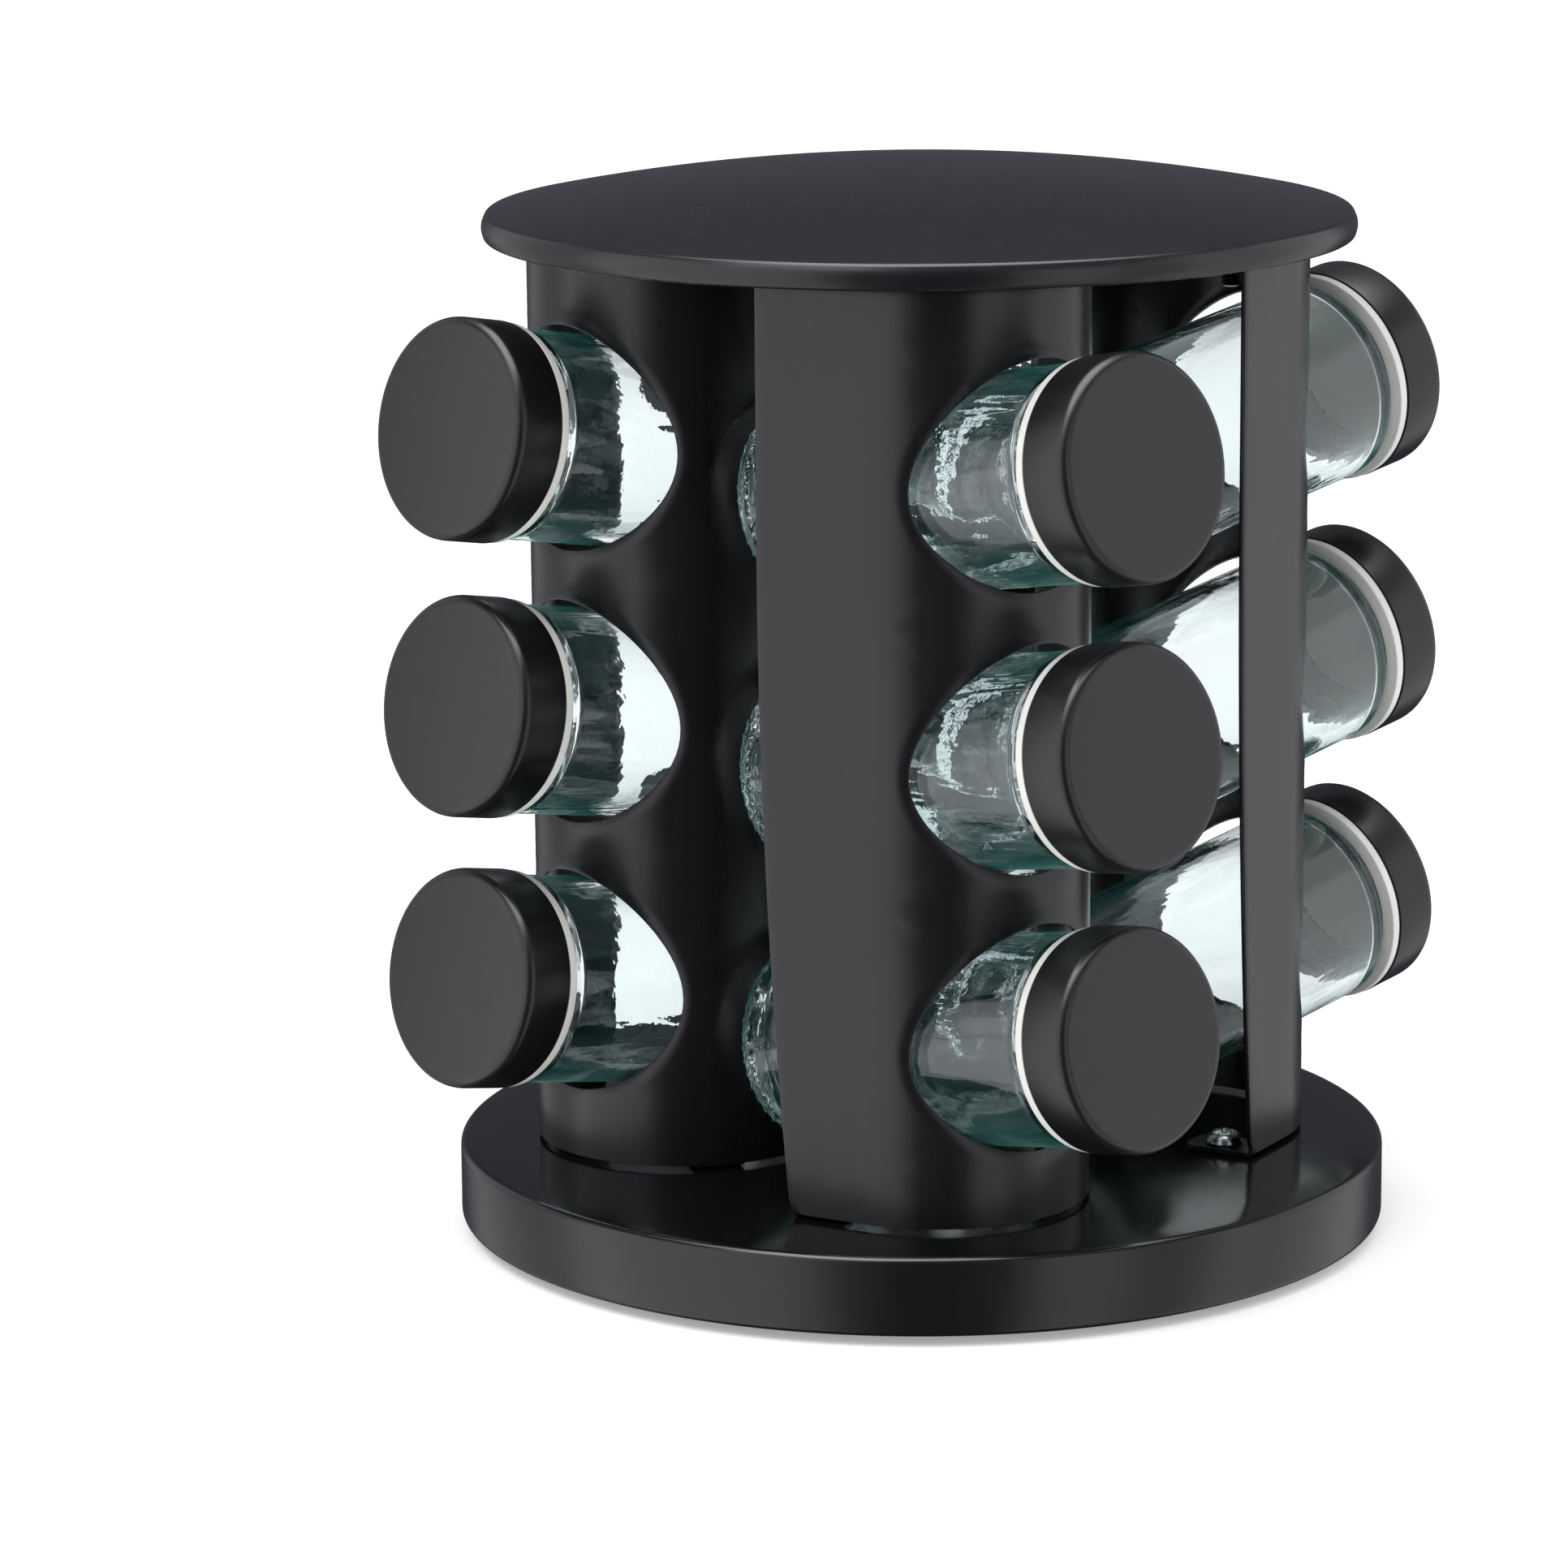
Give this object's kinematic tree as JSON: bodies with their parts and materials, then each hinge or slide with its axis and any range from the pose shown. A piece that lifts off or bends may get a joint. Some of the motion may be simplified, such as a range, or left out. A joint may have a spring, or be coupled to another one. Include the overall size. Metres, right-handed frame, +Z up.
{
  "type": "spice carousel",
  "caption": "Revolving spice rack: rolled steel panels on a round turntable base hold capped glass jars that slide out along sloping holes.",
  "frame": {"origin": "on the axis of rotation at the level of the table the rubber feet stand on", "axes": "+Z up along the axis of rotation, -Y towards the front, +X to the right"},
  "size_m": [0.2142, 0.2142, 0.2177],
  "materials": {
    "satin_black_paint": "satin black powder coat on steel sheet",
    "gloss_black_paint": "glossy black enamel on steel",
    "cap_black_paint": "satin black coat on thin steel",
    "clear_glass": "clear, faintly green",
    "white_plastic": "moulded, semi-matt",
    "plated_steel": "zinc plated",
    "black_rubber": "matt"
  },
  "bodies": {
    "turntable_foot": {"foot_plate": "plated_steel", "pivot_rivet": "plated_steel", "rubber_foot_1": "black_rubber", "rubber_foot_2": "black_rubber", "rubber_foot_3": "black_rubber", "rubber_foot_4": "black_rubber"},
    "ball_race_ring": {"ball_ring": "plated_steel"},
    "carousel": {"base_pan": "gloss_black_paint", "upper_race": "plated_steel", "top_plate": "satin_black_paint", "top_dome": "satin_black_paint", "panel_1": "satin_black_paint", "panel_2": "satin_black_paint", "panel_3": "satin_black_paint", "panel_4": "satin_black_paint", "base_screw_1": "plated_steel", "base_screw_2": "plated_steel", "base_screw_3": "plated_steel", "base_screw_4": "plated_steel", "top_nut_1": "plated_steel", "top_nut_2": "plated_steel", "top_nut_3": "plated_steel", "top_nut_4": "plated_steel"},
    "jar_1a": {"jar_glass_1a": "clear_glass"},
    "cap_1a": {"cap_liner_1a": "white_plastic", "cap_shell_1a": "cap_black_paint"},
    "jar_1b": {"jar_glass_1b": "clear_glass"},
    "cap_1b": {"cap_liner_1b": "white_plastic", "cap_shell_1b": "cap_black_paint"},
    "jar_1c": {"jar_glass_1c": "clear_glass"},
    "cap_1c": {"cap_liner_1c": "white_plastic", "cap_shell_1c": "cap_black_paint"},
    "jar_2a": {"jar_glass_2a": "clear_glass"},
    "cap_2a": {"cap_liner_2a": "white_plastic", "cap_shell_2a": "cap_black_paint"},
    "jar_2b": {"jar_glass_2b": "clear_glass"},
    "cap_2b": {"cap_liner_2b": "white_plastic", "cap_shell_2b": "cap_black_paint"},
    "jar_2c": {"jar_glass_2c": "clear_glass"},
    "cap_2c": {"cap_liner_2c": "white_plastic", "cap_shell_2c": "cap_black_paint"},
    "jar_3a": {"jar_glass_3a": "clear_glass"},
    "cap_3a": {"cap_liner_3a": "white_plastic", "cap_shell_3a": "cap_black_paint"},
    "jar_3b": {"jar_glass_3b": "clear_glass"},
    "cap_3b": {"cap_liner_3b": "white_plastic", "cap_shell_3b": "cap_black_paint"},
    "jar_3c": {"jar_glass_3c": "clear_glass"},
    "cap_3c": {"cap_liner_3c": "white_plastic", "cap_shell_3c": "cap_black_paint"},
    "jar_4a": {"jar_glass_4a": "clear_glass"},
    "cap_4a": {"cap_liner_4a": "white_plastic", "cap_shell_4a": "cap_black_paint"},
    "jar_4b": {"jar_glass_4b": "clear_glass"},
    "cap_4b": {"cap_liner_4b": "white_plastic", "cap_shell_4b": "cap_black_paint"},
    "jar_4c": {"jar_glass_4c": "clear_glass"},
    "cap_4c": {"cap_liner_4c": "white_plastic", "cap_shell_4c": "cap_black_paint"}
  },
  "joints": [
    {"name": "carousel_spin", "type": "hinge", "parent": "turntable_foot", "child": "carousel", "pos_m": [0, 0, 0.012], "axis": [0, 0, 1], "continuous": true},
    {"name": "ball_ring_spin", "type": "hinge", "parent": "turntable_foot", "child": "ball_race_ring", "pos_m": [0, 0, 0.012], "axis": [0, 0, 1], "continuous": true},
    {"name": "jar_1a_slide", "type": "slide", "parent": "carousel", "child": "jar_1a", "axis": [0.6837, -0.708, 0.1771], "range_m": [0, 0.08]},
    {"name": "cap_1a_lift", "type": "slide", "parent": "jar_1a", "child": "cap_1a", "axis": [0.6837, -0.708, 0.1771], "range_m": [0, 0.025]},
    {"name": "jar_1b_slide", "type": "slide", "parent": "carousel", "child": "jar_1b", "axis": [0.6837, -0.708, 0.1771], "range_m": [0, 0.08]},
    {"name": "cap_1b_lift", "type": "slide", "parent": "jar_1b", "child": "cap_1b", "axis": [0.6837, -0.708, 0.1771], "range_m": [0, 0.025]},
    {"name": "jar_1c_slide", "type": "slide", "parent": "carousel", "child": "jar_1c", "axis": [0.6837, -0.708, 0.1771], "range_m": [0, 0.08]},
    {"name": "cap_1c_lift", "type": "slide", "parent": "jar_1c", "child": "cap_1c", "axis": [0.6837, -0.708, 0.1771], "range_m": [0, 0.025]},
    {"name": "jar_2a_slide", "type": "slide", "parent": "carousel", "child": "jar_2a", "axis": [0.708, 0.6837, 0.1771], "range_m": [0, 0.08]},
    {"name": "cap_2a_lift", "type": "slide", "parent": "jar_2a", "child": "cap_2a", "axis": [0.708, 0.6837, 0.1771], "range_m": [0, 0.025]},
    {"name": "jar_2b_slide", "type": "slide", "parent": "carousel", "child": "jar_2b", "axis": [0.708, 0.6837, 0.1771], "range_m": [0, 0.08]},
    {"name": "cap_2b_lift", "type": "slide", "parent": "jar_2b", "child": "cap_2b", "axis": [0.708, 0.6837, 0.1771], "range_m": [0, 0.025]},
    {"name": "jar_2c_slide", "type": "slide", "parent": "carousel", "child": "jar_2c", "axis": [0.708, 0.6837, 0.1771], "range_m": [0, 0.08]},
    {"name": "cap_2c_lift", "type": "slide", "parent": "jar_2c", "child": "cap_2c", "axis": [0.708, 0.6837, 0.1771], "range_m": [0, 0.025]},
    {"name": "jar_3a_slide", "type": "slide", "parent": "carousel", "child": "jar_3a", "axis": [-0.6837, 0.708, 0.1771], "range_m": [0, 0.08]},
    {"name": "cap_3a_lift", "type": "slide", "parent": "jar_3a", "child": "cap_3a", "axis": [-0.6837, 0.708, 0.1771], "range_m": [0, 0.025]},
    {"name": "jar_3b_slide", "type": "slide", "parent": "carousel", "child": "jar_3b", "axis": [-0.6837, 0.708, 0.1771], "range_m": [0, 0.08]},
    {"name": "cap_3b_lift", "type": "slide", "parent": "jar_3b", "child": "cap_3b", "axis": [-0.6837, 0.708, 0.1771], "range_m": [0, 0.025]},
    {"name": "jar_3c_slide", "type": "slide", "parent": "carousel", "child": "jar_3c", "axis": [-0.6837, 0.708, 0.1771], "range_m": [0, 0.08]},
    {"name": "cap_3c_lift", "type": "slide", "parent": "jar_3c", "child": "cap_3c", "axis": [-0.6837, 0.708, 0.1771], "range_m": [0, 0.025]},
    {"name": "jar_4a_slide", "type": "slide", "parent": "carousel", "child": "jar_4a", "axis": [-0.708, -0.6837, 0.1771], "range_m": [0, 0.08]},
    {"name": "cap_4a_lift", "type": "slide", "parent": "jar_4a", "child": "cap_4a", "axis": [-0.708, -0.6837, 0.1771], "range_m": [0, 0.025]},
    {"name": "jar_4b_slide", "type": "slide", "parent": "carousel", "child": "jar_4b", "axis": [-0.708, -0.6837, 0.1771], "range_m": [0, 0.08]},
    {"name": "cap_4b_lift", "type": "slide", "parent": "jar_4b", "child": "cap_4b", "axis": [-0.708, -0.6837, 0.1771], "range_m": [0, 0.025]},
    {"name": "jar_4c_slide", "type": "slide", "parent": "carousel", "child": "jar_4c", "axis": [-0.708, -0.6837, 0.1771], "range_m": [0, 0.08]},
    {"name": "cap_4c_lift", "type": "slide", "parent": "jar_4c", "child": "cap_4c", "axis": [-0.708, -0.6837, 0.1771], "range_m": [0, 0.025]}
  ],
  "couplings": [
    {"joint": "ball_ring_spin", "follows": "carousel_spin", "ratio": 0.5}
  ]
}
